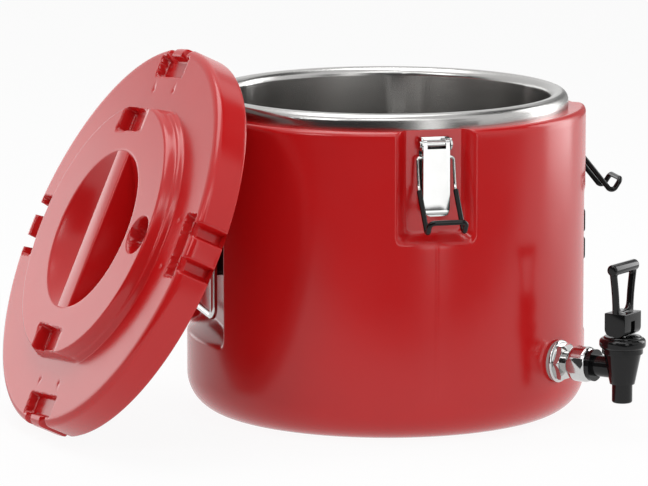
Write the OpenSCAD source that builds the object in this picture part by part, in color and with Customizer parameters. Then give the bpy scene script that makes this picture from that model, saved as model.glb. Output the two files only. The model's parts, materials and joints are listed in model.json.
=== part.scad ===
// Insulated food container: a foamed double-wall body with a steel pot, four toggle
// latches, two drop handles and a lever tap. Its clamp-on lid is off and leans on the body.
// Millimetres, +Z up, origin on the body axis at the floor. The front latch faces -Y.

/* [Body] */
// Outside radius of the moulded body
body_r = 170; // [165:1:185]
// Height of the moulded body
body_h = 261; // [255:1:290]
// Radius of the rounded bottom edge
base_fillet = 32; // [24:1:34]
// Radius of the rounded shoulder
shoulder_fillet = 5; // [4:0.5:6.5]
// Thickness of the moulded skin
skin_t = 4; // [3:0.25:4.5]

/* [Pot] */
// Whole wall, from the outside of the body to the inside of the pot
wall_t = 30; // [29:0.5:36]
// Thickness of the pot's sheet
pot_sheet = 1.2; // [0.8:0.1:1.6]
// Width of the rolled rim
rim_w = 15; // [13:0.5:16]
// Height of the rim's crown above the body
rim_rise = 12.5; // [10:0.5:14]
// Height of the pot's floor above the ground
pot_floor_z = 30; // [22:1:36]
// Corner radius inside the pot
pot_corner_r = 12; // [6:1:16]

/* [Recesses] */
// Band of the body's top left between the rim and a latch recess
rim_margin = 2; // [1:0.5:4]
// Half width of a latch recess at its floor
latch_recess_half = 25; // [23:0.5:30]
// Height of a latch recess at its floor, up to the top of the body
latch_recess_h = 86; // [80:1:93]
// Depth of a handle recess below the body's surface
handle_recess_depth = 21; // [18:0.5:22]
// Half width of a handle recess at its floor
handle_recess_half = 57; // [52:1:62]
// Drop from the top of the body to the lower edge of a handle recess, at its floor
handle_recess_drop = 180; // [177:1:187]
// Height of a handle recess, at its floor
handle_recess_h = 96; // [92:1:104]
// Side slope of the recesses, run over depth
recess_draft = 1; // [0.6:0.1:1.1]
// Slope of the recesses' lower and upper walls, run over depth
recess_sill = 0.6; // [0.3:0.1:0.8]
// Corner radius of the recesses at the body's surface
recess_corner_r = 13; // [8:1:16]

/* [Latches] */
// Drop from the top of the body to the hinge pin
latch_pin_drop = 11; // [9:0.5:14]
// Radius of the hinge pin
latch_pin_r = 2; // [1.5:0.25:2.5]
// Length of the lever below its hinge pin
lever_len = 59; // [56:1:63]
// Width of the lever over its flanges
lever_w = 22.5; // [21.5:0.5:24]
// Sheet thickness of the lever and the base plate
latch_sheet = 1.3; // [1:0.1:1.6]
// Distance from the recess floor to the hinge pin
latch_pin_out = 7; // [6.5:0.25:8]
// Drop from the hinge pin to the bail's pivot
bail_drop = 11; // [10.5:0.5:13]
// Radius of the bail wire
bail_wire_r = 1.3; // [1:0.1:1.5]
// Outside radius of the bail's black sleeve
bail_sleeve_r = 2.2; // [1.9:0.1:2.4]
// Half width of the bail, to the middle of its wire
bail_half = 15.5; // [15.5:0.5:17]
// Length of the bail's bare upper leg
bail_upper = 24; // [20:1:27]
// Length of the bail's sleeved lower leg
bail_lower = 46.5; // [43:0.5:50]
// Length of the hook at the bail's end
bail_hook = 14; // [11:1:16]
// Outward lean of the upper leg at rest, from straight down
bail_lean = 11; // [8:1:16]
// Bend between the bail's upper and lower leg
bail_knee = 28; // [20:1:32]
// Angle between the lower leg and the hook
bail_hook_angle = 72; // [60:1:85]
// How much nearer the left bail hangs, to clear the leaning lid
left_bail_tuck = 18; // [14:1:19]

/* [Handles] */
// Radius of the handle wire
handle_wire_r = 3.1; // [2.5:0.1:3.5]
// Half width of the handle, to the middle of its wire
handle_half = 39; // [37:0.5:42]
// Drop from the handle's pivot to its cross bar
handle_drop = 57.5; // [50:0.5:60]
// Drop from the top of the body to the handle's pivot
handle_pivot_drop = 113.5; // [111:0.5:115]
// Distance from the recess floor to the handle's pivot
handle_pivot_out = 10.5; // [9:0.5:12]
// Half width of the bracket block
bracket_half = 34; // [32:0.5:35]
// Height of each lobe of the bracket
bracket_lobe_h = 22.5; // [20:0.5:24]
// Distance from the recess floor to the bracket's face
bracket_out = 18.5; // [17:0.5:19]

/* [Tap] */
// Turn from the front latch to the tap, about the body
tap_angle = 43.5; // [40:0.5:50]
// Height of the tap's inlet above the ground
tap_z = 56; // [54:0.5:62]
// Distance from the body's surface to the tap's own axis
tap_reach = 63; // [61:0.5:70]
// Radius of the tap's shank
shank_r = 8.5; // [7.5:0.25:9]
// Radius of the waterway through the fitting
waterway_r = 5.5; // [4:0.25:6]
// Width across flats of the hex nut
tap_nut_flats = 28.5; // [27:0.5:30]
// Radius of the plated collar
collar_r = 15; // [14:0.5:16]
// Radius of the spout
spout_r = 8.6; // [8:0.2:9.5]
// Length of the spout
spout_len = 16; // [10:0.5:17]
// Radius of the bonnet
bonnet_r = 19.5; // [18.5:0.25:21]
// Length of the tap lever's cross bar
stirrup_w = 40; // [36:1:42]
// Height of the tap lever above its foot
stirrup_h = 42; // [36:1:46]
// Radius of the valve stem
stem_r = 3; // [2.5:0.1:3.4]

/* [Lid] */
// Step from the body's radius to the lid's radius
lid_inset = 0; // [0:0.5:3]
// Thickness of the lid's rim
lid_rim_h = 29; // [28:0.5:34]
// Radius of the raised middle of the lid
plateau_r = 112; // [111:0.5:114]
// Half distance between the two flats of the raised middle
plateau_flat = 109.5; // [108.5:0.25:110]
// Height of the raised middle above the rim
plateau_h = 14; // [12:0.5:16]
// Radius of the grip bowl
bowl_r = 71; // [64:1:74]
// Depth of the grip bowl
bowl_depth = 28; // [24:0.5:28]
// Width of the grip bar
grip_bar_w = 24; // [20:1:28]
// Thickness of the grip bar
grip_bar_t = 12.5; // [10:0.5:13]
// Radius of the vent recess
vent_r = 14; // [11:0.5:15]
// Distance from the lid's middle to the vent
vent_reach = 95; // [92:0.5:96]
// Distance from the lid's middle to the stacking pockets
pocket_reach = 97.5; // [96:0.25:98]
// Length of a latch slot in the lid
lid_slot_len = 52; // [48:1:56]
// Depth of a latch slot in the lid
lid_slot_depth = 8; // [7:0.5:10]
// How far the seal ring stands out of the lid's underside
gasket_proud = 6; // [4:0.5:7]
// Height of the plug under the lid that goes into the pot
lid_plug_h = 8.2; // [7.5:0.1:10]
// Lean of the lid from upright
lid_lean = 25.8; // [24:0.2:27]
// Turn of the leaning lid about the body, from the left latch
lid_turn = 9.1; // [6:0.1:11]
// Turn of the lid about its own middle
lid_spin = 6; // [0:0.5:12]
// Sideways shift of the lid's middle along the body
lid_shift = -4.2; // [-8:0.2:4]

/* [Hidden] */
$fn = 96;
SIDES = ["front", "right", "back", "left"];
HANDLE_SIDES = ["right", "left"];
each_side = function (stem, sides) [for (s = sides) str(stem, "_", s)];

// Fits
run_gap = 0.05;
free_gap = 0.3;
over = 1;
far = 400;
bend_lap = 0.2;
bend_swell = 0.03;

// Pot and body
pot_r = body_r - wall_t;
pot_out_r = pot_r + pot_sheet;
rim_r = pot_r + rim_w;
roll_r = rim_w / 2;
roll_z = body_h + rim_rise - roll_r;
latch_floor_r = rim_r + rim_margin;
latch_recess_z = body_h - latch_recess_h;
handle_floor_r = body_r - handle_recess_depth;
handle_recess_z = body_h - handle_recess_drop;
recess_reach = 8;
recess_open = 60;
base_plate_r = 120;
foam_edge = 1.5;

// Latch
latch_pin_z = body_h - latch_pin_drop;
pin_r_at = latch_floor_r + latch_pin_out;
roll_out = latch_pin_r + latch_sheet + run_gap;
lever_face_r = pin_r_at + roll_out;
lever_half = lever_w / 2;
ear_in = lever_half + free_gap;
ear_out = ear_in + latch_sheet;
ear_rim = 3.4;
ear_r = latch_pin_r + ear_rim;
bail_set_in = 1;
bail_r_at = pin_r_at - bail_set_in;
bail_z = latch_pin_z - bail_drop;
bail_hole_r = bail_wire_r + run_gap;
bail_bend = 4.2;
bail_end_bend = 2.6;
lip_r = 3.2;
rivet_r = 1.6;
rivet_head_r = 3.2;
rivet_head_h = 1.2;
rivet_drops = [30, 44];
latch_plate_low = 52;
lever_low_z = latch_pin_z - lever_len;
lever_corner = 6;
knuckle_w = 3.4;
lever_window = 3.6;
flange_land = 3.4;
flange_end = 2;
flange_rise = 12;
pin_head_lip = 0.9;
pin_head_t = 0.9;
bail_tail = 1.2;
bail_in = lever_half - latch_sheet - bail_tail;
plate_corner = 3;
bail_knee_bend = 10;
sleeve_start = 4;

// Handle
handle_r_at = handle_floor_r + handle_pivot_out;
handle_pivot_z = body_h - handle_pivot_drop;
handle_pin_len = 12;
handle_bend = 9;
lobe_gap = 2;
screw_r = 2;
screw_head_r = 4;
screw_head_h = 2.5;
screw_half = 20;
screw_sink = 1;
bracket_corner = 6;
lobe_round = 4;
handle_end_bend = 4.6;

// Tap, along its own line out of the body
tap_axis_r = body_r + tap_reach;
gasket_t = 2.2;
gasket_r = 17;
washer_r = 18;
washer_t = 2.2;
nut_t = 5.6;
neck_len = 3.5;
collar_len = 20.5;
inlet_flange_t = 3.5;
inlet_flange_r = 13.5;
inlet_r = 9;
shank_end_r = body_r + gasket_t + washer_t + nut_t + neck_len + collar_len / 2;
collar_in_r = shank_end_r - collar_len / 2;
collar_end_r = shank_end_r + collar_len / 2;
inner_gasket_t = 2.5;
inner_nut_t = 8;
inner_nut_flats = 26;
inner_seat_r = pot_r - inner_gasket_t;
inner_nut_r = inner_seat_r - inner_nut_t;
shank_tail = 3;
shank_in_r = inner_nut_r - shank_tail;
inner_gasket_r = 14;
nut_bevel = 1.6;
collar_round = 5;
collar_nose = 7.5;
collar_flat = 13.2;

// Tap, up its own axis
cone_h = 25.5;
cone_low_r = 10.5;
cone_top_r = 15.6;
cone_z = tap_z - cone_h / 2;
spout_z = cone_z - spout_len;
cone_top_z = cone_z + cone_h;
seat_drop = 0.6;
seat_z = tap_z - waterway_r - seat_drop;
chamber_r = 9.6;
bonnet_h = 15;
bonnet_top_z = cone_top_z + bonnet_h;
bonnet_plate = 4;
cup_r = 7.5;
cup_h = 8;
foot_h = 20;
foot_half_w = 14;
foot_half_d = 10;
foot_round = 6;
lever_pin_r = 1.5;
lever_pin_up = 8;
foot_z = bonnet_top_z + free_gap;
lever_pin_z = foot_z + lever_pin_up;
stirrup_top_z = foot_z + foot_h + stirrup_h;
stirrup_d = 5.5;
stirrup_bar = 9.5;
stirrup_leg = 6;
stirrup_eye_r = 7;
stirrup_eye_up = 7;
stirrup_sink = 4;
stirrup_shoulder = 6;
stirrup_in = 2.5;
foot_step = 1;
foot_cut = 4;
spout_round = 1.6;
skirt_step = 1.6;
bonnet_round = 3.4;
bonnet_band = 9;
bonnet_brim = 1.5;
stem_set = 2.5;
stem_low_z = seat_z + stem_set;
cup_edges = [2, 1];
bonnet_edges = [1, 1.5];
stem_head = 3.4;
stem_room = 1.6;
spring_r = 5.6;
spring_wire_r = 0.7;
spring_turns = 6;
spring_rings = 12;
spring_sides = 6;

// Lid, in its own frame: middle of the underside at the origin, +Z out of the top
lid_r = body_r - lid_inset;
lid_top_round = 6;
lid_low_round = 2;
rim_groove_depth = 4;
groove_side = 1;
groove_in_r = pot_r + groove_side;
groove_out_r = rim_r - groove_side;
plateau_z = lid_rim_h + plateau_h;
plateau_round = 2.5;
tier_step = 5.5;
tier_h = 5;
tier_foot = 0.5;
tier_round = 2.5;
lid_skin = 4;
plug_inset = 4;
plug_edge = 2;
slot_in = 4;
slot_out = 5;
slot_in_r = pot_r + slot_in;
slot_out_r = rim_r + slot_out;
slot_groove_w = 9;
leg_lap = 1.5;
leg_groove_r = slot_out_r - leg_lap;
pocket_len = 56;
pocket_w = 18;
pocket_depth = 11;
vent_depth = 14;
vent_hole_r = 5;
vent_plug_r = 9;
vent_plug_t = 3;
core_low_r = 78;
core_r = groove_in_r - lid_skin;
core_low_z = plateau_z - bowl_depth - lid_skin;
core_drop = 2;
core_z = plateau_z - vent_depth - lid_skin - core_drop;

// Leaning lid: its plug meets the body's shoulder and its edge meets the floor
lean_gap = 0.3;
lid_plane = (body_r - shoulder_fillet) * cos(lid_lean) + (body_h - shoulder_fillet) * sin(lid_lean)
    + shoulder_fillet + lean_gap + lid_plug_h;
lid_z = lean_gap + (lid_r - lid_low_round) * cos(lid_lean)
    + lid_low_round * (1 - sin(lid_lean));
lid_out = (lid_plane - lid_z * sin(lid_lean)) / cos(lid_lean);

function unit(v) = v / norm(v);
function side_index(name) = search([name], SIDES)[0];

// Turns children from the front of the body to the named side
module at_side(name) {
    rotate([0, 0, 90 * side_index(name)]) children();
}

// Puts children, drawn along +Z, onto the radial line at a height, pointing out of the body
module radial(z) {
    translate([0, 0, z]) rotate([90, 0, 0]) children();
}

// Rod along X, centred, at a distance out of the body and a height
module cross_rod(r, len, out, z) {
    translate([-len / 2, -out, z]) rotate([0, 90, 0]) cylinder(r = r, h = len);
}

// Extrudes a side profile, drawn as [distance out, height], across X
module across(width) {
    rotate([0, 0, 180]) rotate([90, 0, 90]) linear_extrude(width, center = true) children();
}

// Extrudes a front profile, drawn as [x, height], along the radial line
module through(from_r, to_r) {
    translate([0, -from_r, 0]) rotate([90, 0, 0]) linear_extrude(to_r - from_r) children();
}

// Frame with its Z along a direction
module along(p, d, x_axis) {
    y_axis = cross(d, x_axis);
    multmatrix([
        [x_axis[0], y_axis[0], d[0], p[0]],
        [x_axis[1], y_axis[1], d[1], p[1]],
        [x_axis[2], y_axis[2], d[2], p[2]],
        [0, 0, 0, 1]
    ]) children();
}

// Any direction square to d
function square_to(d) = unit(cross(d, abs(d[2]) < 0.9 ? [0, 0, 1] : [1, 0, 0]));

// Round wire through points, with a bend of the given radius at each inner point.
// The bends are a hair thicker than the straights, which run a little way into them.
module bent_wire(points, bends, r) {
    last = len(points) - 1;
    dirs = [for (i = [0:last - 1]) unit(points[i + 1] - points[i])];
    turns = [for (i = [1:last - 1]) acos(dirs[i - 1] * dirs[i])];
    trims = concat([0], [for (i = [1:last - 1]) bends[i - 1] * tan(turns[i - 1] / 2)], [0]);
    laps = [for (t = trims) t > 0 ? t - bend_lap : 0];
    for (i = [0:last - 1])
        along(points[i] + dirs[i] * laps[i], dirs[i], square_to(dirs[i]))
            cylinder(r = r, h = norm(points[i + 1] - points[i]) - laps[i] - laps[i + 1]);
    for (i = [1:last - 1]) {
        axis = unit(cross(dirs[i - 1], dirs[i]));
        inward = cross(axis, dirs[i - 1]);
        centre = points[i] - dirs[i - 1] * trims[i] + inward * bends[i - 1];
        along(centre, axis, -inward) rotate_extrude(angle = turns[i - 1])
            translate([bends[i - 1], 0]) circle(r + bend_swell);
    }
}

module ring_2d(r, bore) {
    difference() {
        circle(r);
        circle(bore);
    }
}

// Half profile of a drum with a rounded bottom and top edge
module drum_2d(r, h, low_round, top_round) {
    square([r - low_round, h - top_round]);
    translate([0, low_round]) square([r, h - low_round - top_round]);
    square([r - max(low_round, top_round), h]);
    translate([0, h - top_round]) square([r - top_round, top_round]);
    translate([r - low_round, low_round]) circle(low_round);
    translate([r - top_round, h - top_round]) circle(top_round);
}

// Rectangle with round corners, standing on y = 0 and centred on x
module rounded_2d(half, h, r) {
    translate([-half, r]) square([2 * half, h - 2 * r]);
    translate([r - half, 0]) square([2 * (half - r), h]);
    for (x = [r - half, half - r], y = [r, h - r]) translate([x, y]) circle(r);
}

// Cutter of one drafted recess; grow moves every wall out, for the skin behind it
module recess(floor_r, half, low_z, high_z, grow) {
    reach = body_r + recess_reach;
    mouth = body_r - floor_r;
    f = floor_r - grow;
    flare = (reach - f) * recess_draft;
    sill = (reach - f) * recess_sill;
    intersection() {
        linear_extrude(far) polygon([
            [-half - grow, -f], [half + grow, -f],
            [half + grow + flare, -reach], [-half - grow - flare, -reach]
        ]);
        across(far) polygon([
            [f, low_z - grow], [reach, low_z - grow - sill],
            [reach, high_z + grow + sill], [f, high_z + grow]
        ]);
        through(f - over, reach + over)
            translate([0, low_z - grow - mouth * recess_sill])
                rounded_2d(half + grow + mouth * recess_draft,
                    high_z - low_z + 2 * grow + 2 * mouth * recess_sill, recess_corner_r);
    }
}

module recesses(grow) {
    for (s = SIDES)
        at_side(s) recess(latch_floor_r, latch_recess_half, latch_recess_z, body_h + recess_open, grow);
    for (s = HANDLE_SIDES)
        at_side(s) recess(handle_floor_r, handle_recess_half, handle_recess_z,
            handle_recess_z + handle_recess_h, grow);
}

// Space the pot takes up, out to its outer face
module pot_outside() {
    rotate_extrude() intersection() {
        translate([0, pot_floor_z - pot_sheet])
            drum_2d(pot_out_r, far, pot_corner_r + pot_sheet, 1);
        square([pot_out_r, body_h + over]);
    }
}

// Space between the skin and the pot, up into the pot's rolled rim
module foam_space() {
    difference() {
        translate([0, 0, skin_t]) rotate_extrude()
            drum_2d(body_r - skin_t, body_h - 2 * skin_t, base_fillet - skin_t, foam_edge);
        recesses(skin_t);
        pot_outside();
    }
    rotate_extrude() rim_core_2d();
}

// Round holes that the fasteners leave in the skin
module fastener_holes() {
    for (s = SIDES)
        at_side(s) rivet_places() translate([0, 0, -skin_t]) cylinder(r = rivet_r, h = skin_t + over);
    for (s = HANDLE_SIDES)
        at_side(s) screw_places() translate([0, 0, -skin_t]) cylinder(r = screw_r, h = skin_t + over);
}

module rivet_places() {
    for (d = rivet_drops) radial(latch_pin_z - d) translate([0, 0, latch_floor_r]) children();
}

module screw_places() {
    for (x = [-screw_half, screw_half], lobe = [-1, 1])
        translate([x, 0, 0])
            radial(handle_pivot_z + lobe * (bracket_lobe_h / 2 + lobe_gap / 2))
                translate([0, 0, handle_floor_r]) children();
}

module shank_hole(r) {
    rotate([0, 0, tap_angle]) radial(tap_z) translate([0, 0, shank_in_r]) cylinder(r = r, h = far);
}

module outer_shell() {
    color("firebrick") difference() {
        rotate_extrude() drum_2d(body_r, body_h, base_fillet, shoulder_fillet);
        foam_space();
        pot_outside();
        recesses(0);
        fastener_holes();
        shank_hole(shank_r);
        base_hole();
    }
}

// Round opening in the bottom, through which the foam is filled in
module base_hole() {
    translate([0, 0, -over]) cylinder(r = base_plate_r, h = skin_t + over);
}

module base_plate() {
    color("firebrick") cylinder(r = base_plate_r, h = skin_t);
}

// Ring of foam that fills the rolled rim of the pot
module rim_core_2d() {
    translate([pot_out_r, body_h - skin_t])
        square([rim_w - 2 * pot_sheet, roll_z - body_h + skin_t]);
    translate([pot_r + roll_r, roll_z]) circle(roll_r - pot_sheet);
}

module body_insulation() {
    color("khaki") difference() {
        foam_space();
        shank_hole(shank_r);
    }
}

module inner_pot() {
    color("silver") difference() {
        rotate_extrude() pot_2d();
        shank_hole(shank_r);
    }
}

module pot_2d() {
    corner = [pot_r - pot_corner_r, pot_floor_z + pot_corner_r];
    translate([0, pot_floor_z - pot_sheet]) square([corner[0], pot_sheet]);
    intersection() {
        translate(corner) ring_2d(pot_corner_r + pot_sheet, pot_corner_r);
        translate([corner[0], 0]) square([far, corner[1]]);
    }
    translate([pot_r, corner[1]]) square([pot_sheet, roll_z - corner[1]]);
    intersection() {
        translate([pot_r + roll_r, roll_z]) ring_2d(roll_r, roll_r - pot_sheet);
        translate([0, roll_z]) square(far);
    }
    translate([rim_r - pot_sheet, body_h]) square([pot_sheet, roll_z - body_h]);
}

// Latch, drawn at the front of the body

module latch_base() {
    plate_z = latch_pin_z - latch_plate_low;
    color("gainsboro") difference() {
        union() {
            through(latch_floor_r, latch_floor_r + latch_sheet)
                translate([0, plate_z]) rounded_2d(ear_out, latch_plate_low + ear_r, plate_corner);
            for (s = [-1, 1]) translate([s * (ear_in + ear_out) / 2, 0, 0]) across(latch_sheet) {
                translate([pin_r_at, latch_pin_z]) circle(ear_r);
                translate([latch_floor_r, latch_pin_z - ear_r]) square([latch_pin_out, 2 * ear_r]);
            }
        }
        cross_rod(latch_pin_r, far, pin_r_at, latch_pin_z);
        rivet_places() translate([0, 0, -over]) cylinder(r = rivet_r, h = latch_sheet + 2 * over);
    }
}

module latch_pin() {
    color("silver") {
        cross_rod(latch_pin_r, 2 * ear_out, pin_r_at, latch_pin_z);
        for (s = [-1, 1]) translate([s * (ear_out + pin_head_t / 2), 0, 0])
            cross_rod(latch_pin_r + pin_head_lip, pin_head_t, pin_r_at, latch_pin_z);
    }
}

module latch_rivets() {
    color("silver") for (s = SIDES) at_side(s) rivet_places() {
        translate([0, 0, -skin_t]) cylinder(r = rivet_r, h = skin_t + latch_sheet);
        translate([0, 0, latch_sheet]) cylinder(r = rivet_head_r, h = rivet_head_h);
    }
}

module latch_lever() {
    color("white") difference() {
        union() {
            cross_rod(roll_out, lever_w, pin_r_at, latch_pin_z);
            intersection() {
                across(lever_w) lever_face_2d();
                through(latch_floor_r, far) translate([0, lever_low_z])
                    rounded_2d(lever_half, lever_len + 2 * lever_corner, lever_corner);
            }
            for (s = [-1, 1]) translate([s * (lever_half - latch_sheet / 2), 0, 0])
                across(latch_sheet) lever_flange_2d();
        }
        cross_rod(latch_pin_r + run_gap, far, pin_r_at, latch_pin_z);
        cross_rod(bail_hole_r, far, bail_r_at, bail_z);
        translate([knuckle_w - lever_half, -far, latch_pin_z - lever_window])
            cube([lever_w - 2 * knuckle_w, far, far]);
    }
}

// Side profile of the lever's face, curled outwards at its lower end
module lever_face_2d() {
    curl = [lever_face_r + lip_r, lever_low_z + lip_r + latch_sheet];
    translate([lever_face_r - latch_sheet, curl[1]]) square([latch_sheet, latch_pin_z - curl[1]]);
    intersection() {
        translate(curl) ring_2d(lip_r + latch_sheet, lip_r);
        translate(curl - [2 * lip_r + latch_sheet, far]) square([2 * lip_r + latch_sheet, far]);
    }
}

// Side profile of the lever's flange, deepest round the bail's hole
module lever_flange_2d() {
    back = bail_r_at - flange_land;
    front = lever_face_r - latch_sheet / 2;
    polygon([
        [front, latch_pin_z], [back, latch_pin_z], [back, bail_z - flange_land],
        [front - flange_end, lever_low_z + flange_rise], [front, lever_low_z + flange_rise]
    ]);
}

// Points of a bail in its plane: [x, distance out, height] turned into the body's frame
function bail_point(x, p) = [x, -p[0], p[1]];
function swing(angle) = [sin(angle), -cos(angle)];
function bail_side(lean) =
    let (
        pivot = [bail_r_at, bail_z],
        knee = pivot + bail_upper * swing(lean),
        toe = knee + bail_lower * swing(lean + bail_knee),
        tip = toe + bail_hook * swing(lean + bail_knee + 180 - bail_hook_angle)
    ) [pivot, knee, toe, tip];
function rest_lean(side) = bail_lean - (side == "left" ? left_bail_tuck : 0);

// Wire of a latch bail, from one pivot end to the other
module bail_wire(side) {
    p = bail_side(rest_lean(side));
    half = [for (q = p) bail_point(-bail_half, q)];
    other = [for (i = [3:-1:0]) bail_point(bail_half, p[i])];
    points = concat([bail_point(-bail_in, p[0])], half, other, [bail_point(bail_in, p[0])]);
    bends = [bail_end_bend, bail_knee_bend, bail_bend, bail_bend,
        bail_bend, bail_bend, bail_knee_bend, bail_end_bend];
    bent_wire(points, bends, bail_wire_r, $fn = 32);
}

module latch_bail(side) {
    color("lightgray") bail_wire(side);
}

module bail_sleeve(side) {
    p = bail_side(rest_lean(side));
    start = p[1] + sleeve_start * unit(p[2] - p[1]);
    side_points = [start, p[2], p[3]];
    points = concat([for (q = side_points) bail_point(-bail_half, q)],
        [for (i = [2:-1:0]) bail_point(bail_half, side_points[i])]);
    color("black") difference() {
        bent_wire(points, [for (i = [1:4]) bail_bend], bail_sleeve_r, $fn = 32);
        bail_wire(side);
    }
}

// Drop handle, drawn at the front of the body

module handle_bracket() {
    color("#222222") difference() {
        intersection() {
            across(2 * bracket_half) bracket_2d();
            through(0, far) translate([0, handle_pivot_z - bracket_lobe_h - lobe_gap / 2])
                rounded_2d(bracket_half, 2 * bracket_lobe_h + lobe_gap, bracket_corner);
        }
        for (s = [-1, 1]) translate([s * bracket_half, 0, 0])
            cross_rod(handle_wire_r + run_gap, 2 * handle_pin_len, handle_r_at, handle_pivot_z);
        screw_places() {
            translate([0, 0, -over]) cylinder(r = screw_r, h = far);
            translate([0, 0, bracket_out - screw_head_h - screw_sink])
                cylinder(r = screw_head_r, h = far);
        }
    }
}

// Side profile of the bracket: two round-nosed lobes on a web
module bracket_2d() {
    translate([handle_floor_r, handle_pivot_z - bracket_lobe_h - lobe_gap / 2])
        square([bracket_out - lobe_round, 2 * bracket_lobe_h + lobe_gap]);
    for (low = [handle_pivot_z + lobe_gap / 2, handle_pivot_z - lobe_gap / 2 - bracket_lobe_h]) {
        translate([handle_floor_r, low + lobe_round])
            square([bracket_out, bracket_lobe_h - 2 * lobe_round]);
        for (z = [low + lobe_round, low + bracket_lobe_h - lobe_round])
            translate([handle_floor_r + bracket_out - lobe_round, z]) circle(lobe_round);
    }
}

module handle_screws() {
    color("silver") for (s = HANDLE_SIDES) at_side(s) screw_places() {
        translate([0, 0, -skin_t]) cylinder(r = screw_r, h = skin_t + bracket_out - screw_sink - over);
        translate([0, 0, bracket_out - screw_sink - screw_head_h])
            cylinder(r = screw_head_r, h = screw_head_h);
    }
}

module handle_bail() {
    top = [handle_r_at, handle_pivot_z];
    low = [handle_r_at, handle_pivot_z - handle_drop];
    inner = bracket_half - handle_pin_len + free_gap;
    points = [
        bail_point(-inner, top), bail_point(-handle_half, top), bail_point(-handle_half, low),
        bail_point(handle_half, low), bail_point(handle_half, top), bail_point(inner, top)
    ];
    color("gainsboro")
        bent_wire(points, [handle_end_bend, handle_bend, handle_bend, handle_end_bend], handle_wire_r);
}

// Tap, drawn at the front of the body and turned to its place

module at_tap() {
    rotate([0, 0, tap_angle]) children();
}

module on_tap_axis() {
    at_tap() translate([0, -tap_axis_r, 0]) children();
}

// Hex nut along +Z with its corners turned off
module hex_nut(flats, h, bore) {
    corner = flats / 2 / cos(30);
    difference() {
        intersection() {
            cylinder(r = corner, h = h, $fn = 6);
            rotate_extrude() polygon([
                [0, 0], [corner - nut_bevel, 0], [corner, nut_bevel],
                [corner, h - nut_bevel], [corner - nut_bevel, h], [0, h]
            ]);
        }
        translate([0, 0, -over]) cylinder(r = bore, h = h + 2 * over);
    }
}

module tap_gasket() {
    color("dimgray") at_tap() difference() {
        radial(tap_z) translate([0, 0, body_r - gasket_t]) cylinder(r = gasket_r, h = 2 * gasket_t);
        cylinder(r = body_r, h = far, $fn = 720);
        radial(tap_z) cylinder(r = shank_r, h = far);
    }
}

module tap_washer() {
    color("silver") at_tap() radial(tap_z) translate([0, 0, body_r + gasket_t])
        rotate_extrude() polygon([
            [shank_r, 0], [washer_r, 0], [washer_r, washer_t / 2],
            [washer_r - washer_t / 2, washer_t], [shank_r, washer_t]
        ]);
}

module tap_nut() {
    color("silver") at_tap() radial(tap_z)
        translate([0, 0, body_r + gasket_t + washer_t]) hex_nut(tap_nut_flats, nut_t, shank_r);
}

module tap_shank() {
    color("silver") at_tap() radial(tap_z) translate([0, 0, shank_in_r])
        linear_extrude(shank_end_r - shank_in_r) ring_2d(shank_r, waterway_r);
}

module tap_inner_gasket() {
    color("dimgray") at_tap() difference() {
        intersection() {
            radial(tap_z) translate([0, 0, inner_seat_r]) cylinder(r = inner_gasket_r, h = wall_t);
            cylinder(r = pot_r, h = far, $fn = 720);
        }
        radial(tap_z) cylinder(r = shank_r, h = far);
    }
}

module tap_inner_nut() {
    color("silver") at_tap() radial(tap_z)
        translate([0, 0, inner_nut_r]) hex_nut(inner_nut_flats, inner_nut_t, shank_r);
}

module tap_collar() {
    color("silver") at_tap() radial(tap_z) translate([0, 0, collar_in_r]) difference() {
        rotate_extrude() drum_2d(collar_r, collar_len, collar_nose, collar_round);
        translate([0, 0, -over]) cylinder(r = shank_r, h = far);
        for (s = [0, 180]) rotate([0, 0, s]) translate([collar_flat, -far / 2, -over])
            cube([far, far, collar_len + 2 * over]);
    }
}

module tap_body() {
    color("#1a1a1a") at_tap() difference() {
        union() {
            radial(tap_z) translate([0, 0, shank_end_r]) {
                cylinder(r = shank_r, h = collar_len / 2);
                translate([0, 0, collar_len / 2]) {
                    cylinder(r = inlet_flange_r, h = inlet_flange_t);
                    cylinder(r = inlet_r, h = tap_axis_r - collar_end_r);
                }
            }
            translate([0, -tap_axis_r, 0]) rotate_extrude() {
                polygon([[0, cone_z], [cone_low_r, cone_z], [cone_top_r, cone_top_z], [0, cone_top_z]]);
                translate([0, spout_z]) drum_2d(spout_r, spout_len + spout_round, spout_round, spout_round);
            }
        }
        radial(tap_z) translate([0, 0, shank_end_r - over])
            cylinder(r = waterway_r, h = tap_axis_r - shank_end_r);
        translate([0, -tap_axis_r, seat_z]) cylinder(r = chamber_r, h = far);
        translate([0, -tap_axis_r, spout_z - over]) cylinder(r = waterway_r, h = far);
    }
}

module tap_bonnet() {
    color("#1a1a1a") on_tap_axis() difference() {
        rotate_extrude() {
            translate([0, cone_top_z]) square([cone_top_r + skirt_step, bonnet_h - bonnet_round]);
            translate([0, bonnet_top_z - bonnet_band - bonnet_brim])
                drum_2d(bonnet_r, bonnet_band, bonnet_round, bonnet_round);
            translate([0, cone_top_z])
                drum_2d(bonnet_r - bonnet_round, bonnet_h, bonnet_edges[0], bonnet_edges[1]);
        }
        translate([0, 0, cone_top_z - over]) cylinder(r = chamber_r, h = bonnet_h - bonnet_plate + over);
        cylinder(r = stem_r + run_gap, h = far);
    }
}

module tap_stem() {
    color("gray") on_tap_axis() difference() {
        translate([0, 0, stem_low_z]) cylinder(r = stem_r, h = lever_pin_z + stem_head - stem_low_z);
        translate([0, 0, lever_pin_z]) rotate([0, 90, 0])
            cylinder(r = lever_pin_r + run_gap, h = far, center = true);
    }
}

module tap_seat_cup() {
    color("white") on_tap_axis() difference() {
        translate([0, 0, seat_z + free_gap])
            rotate_extrude() drum_2d(cup_r, cup_h, cup_edges[0], cup_edges[1]);
        translate([0, 0, stem_low_z]) cylinder(r = stem_r, h = far);
    }
}

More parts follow.
